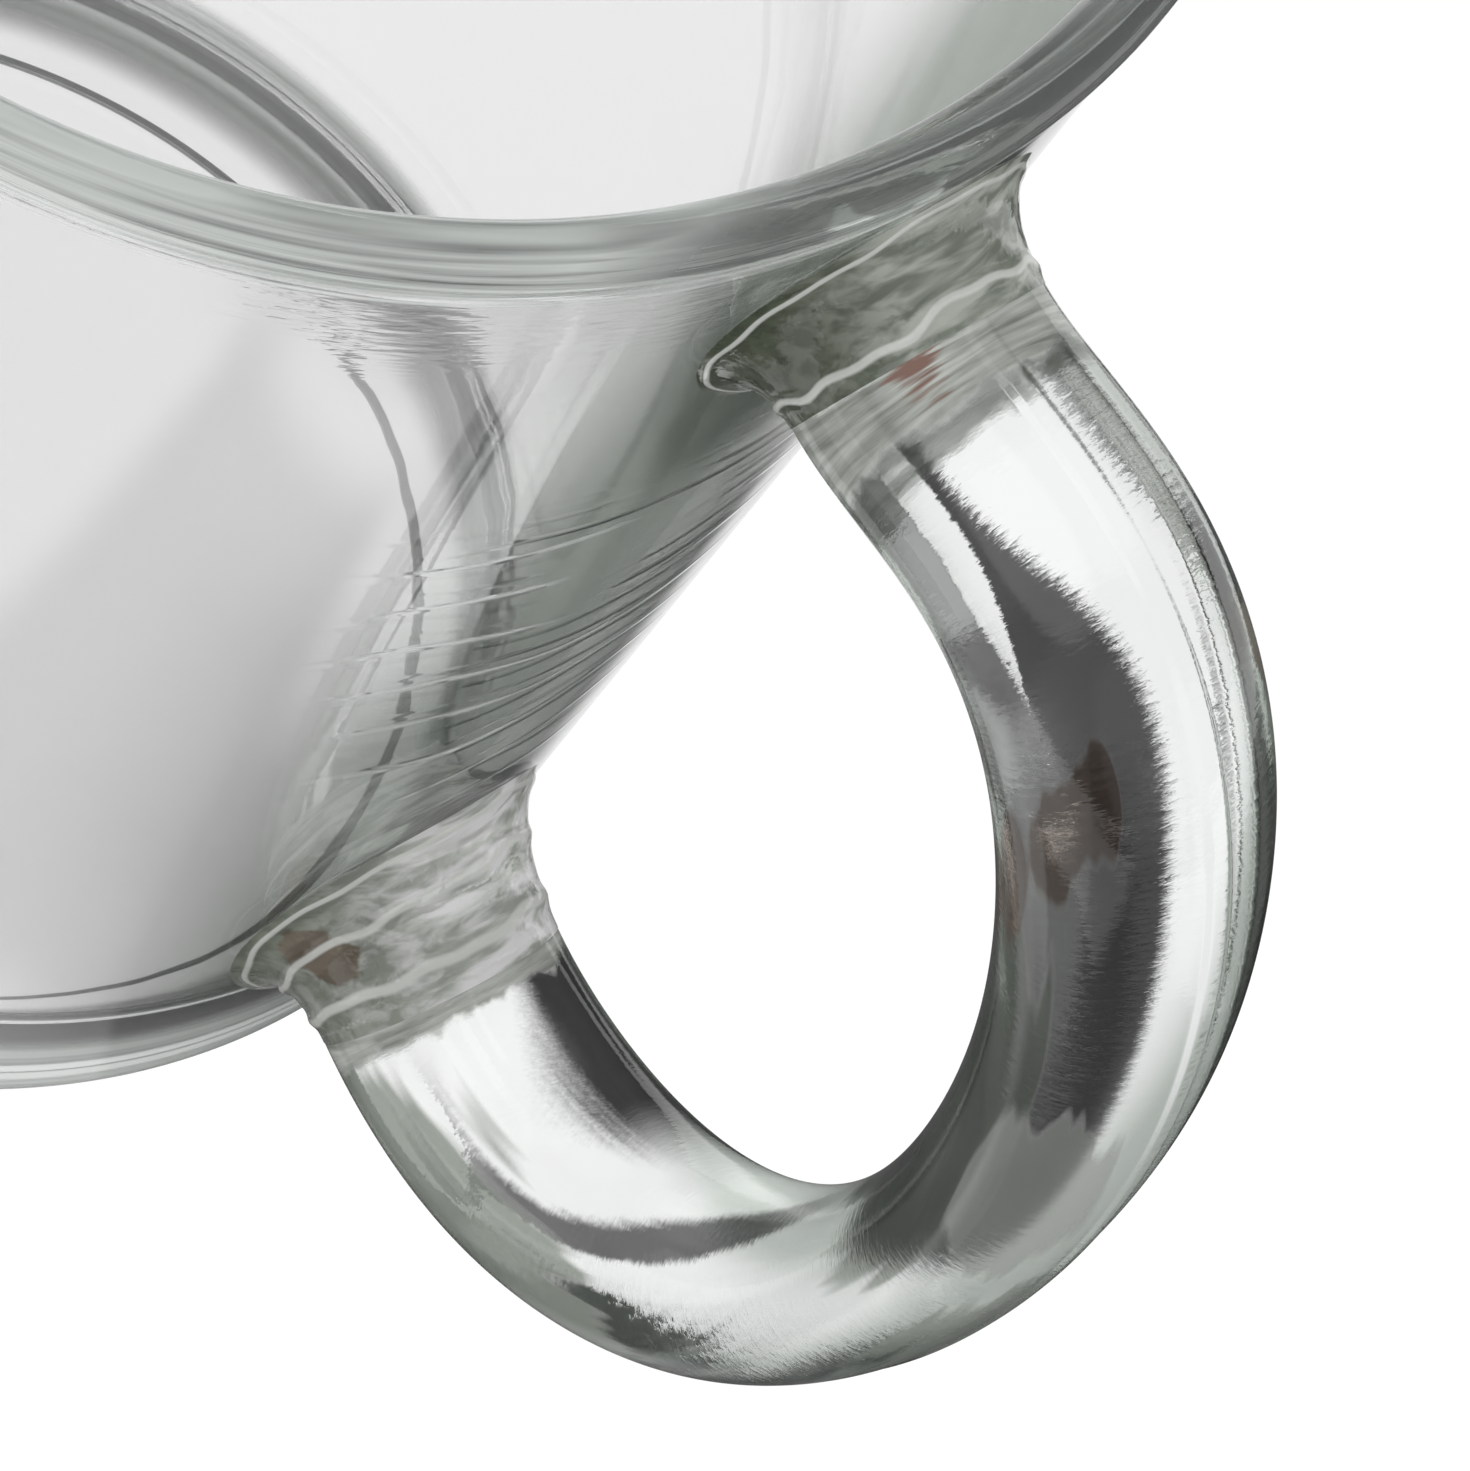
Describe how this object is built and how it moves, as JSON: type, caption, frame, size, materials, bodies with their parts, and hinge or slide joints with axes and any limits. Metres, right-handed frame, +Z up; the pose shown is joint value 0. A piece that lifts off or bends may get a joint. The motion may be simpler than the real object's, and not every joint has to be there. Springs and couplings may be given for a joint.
{
  "type": "glass teacup",
  "caption": "Clear glass teacup with a tapered bowl, a rounded rim, a heavy foot and a thick ear handle welded to the wall.",
  "frame": {"origin": "centre of the standing ring, on the plane that the cup stands on", "axes": "+Z up along the bowl's axis, +X through the handle"},
  "size_m": [0.1145, 0.0856, 0.086],
  "materials": {
    "bowl_glass": "fire-polished",
    "handle_glass": "pressed and fire-polished",
    "weld_glass": "fused, slightly wrinkled"
  },
  "bodies": {
    "root": {"bowl": "bowl_glass", "handle": "handle_glass", "upper_weld": "weld_glass", "lower_weld": "weld_glass"}
  },
  "joints": []
}
